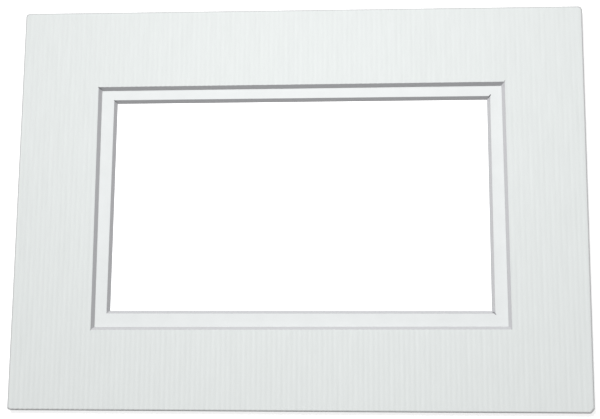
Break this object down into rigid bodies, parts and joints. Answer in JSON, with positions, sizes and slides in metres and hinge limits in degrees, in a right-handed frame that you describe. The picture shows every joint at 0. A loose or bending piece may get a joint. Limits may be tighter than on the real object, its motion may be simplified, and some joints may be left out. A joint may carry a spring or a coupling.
{
  "type": "double picture mount",
  "caption": "Rectangular double picture mount: a ribbed white board with a bevel-cut window, taped over a smooth white board whose smaller window leaves a narrow border.",
  "frame": {"origin": "centre of the back face, which lies on the ground plane z = 0", "axes": "+Z out of the face, +X along the long sides to the picture's right, +Y along the short sides to the picture's top"},
  "size_m": [0.1778, 0.127, 0.0021],
  "materials": {
    "ribbed_board": "matte",
    "smooth_board": "matte",
    "tape": "satin"
  },
  "bodies": {
    "root": {"top_board": "ribbed_board", "under_board": "smooth_board", "tape_top": "tape", "tape_bottom": "tape", "tape_left": "tape", "tape_right": "tape"}
  },
  "joints": []
}
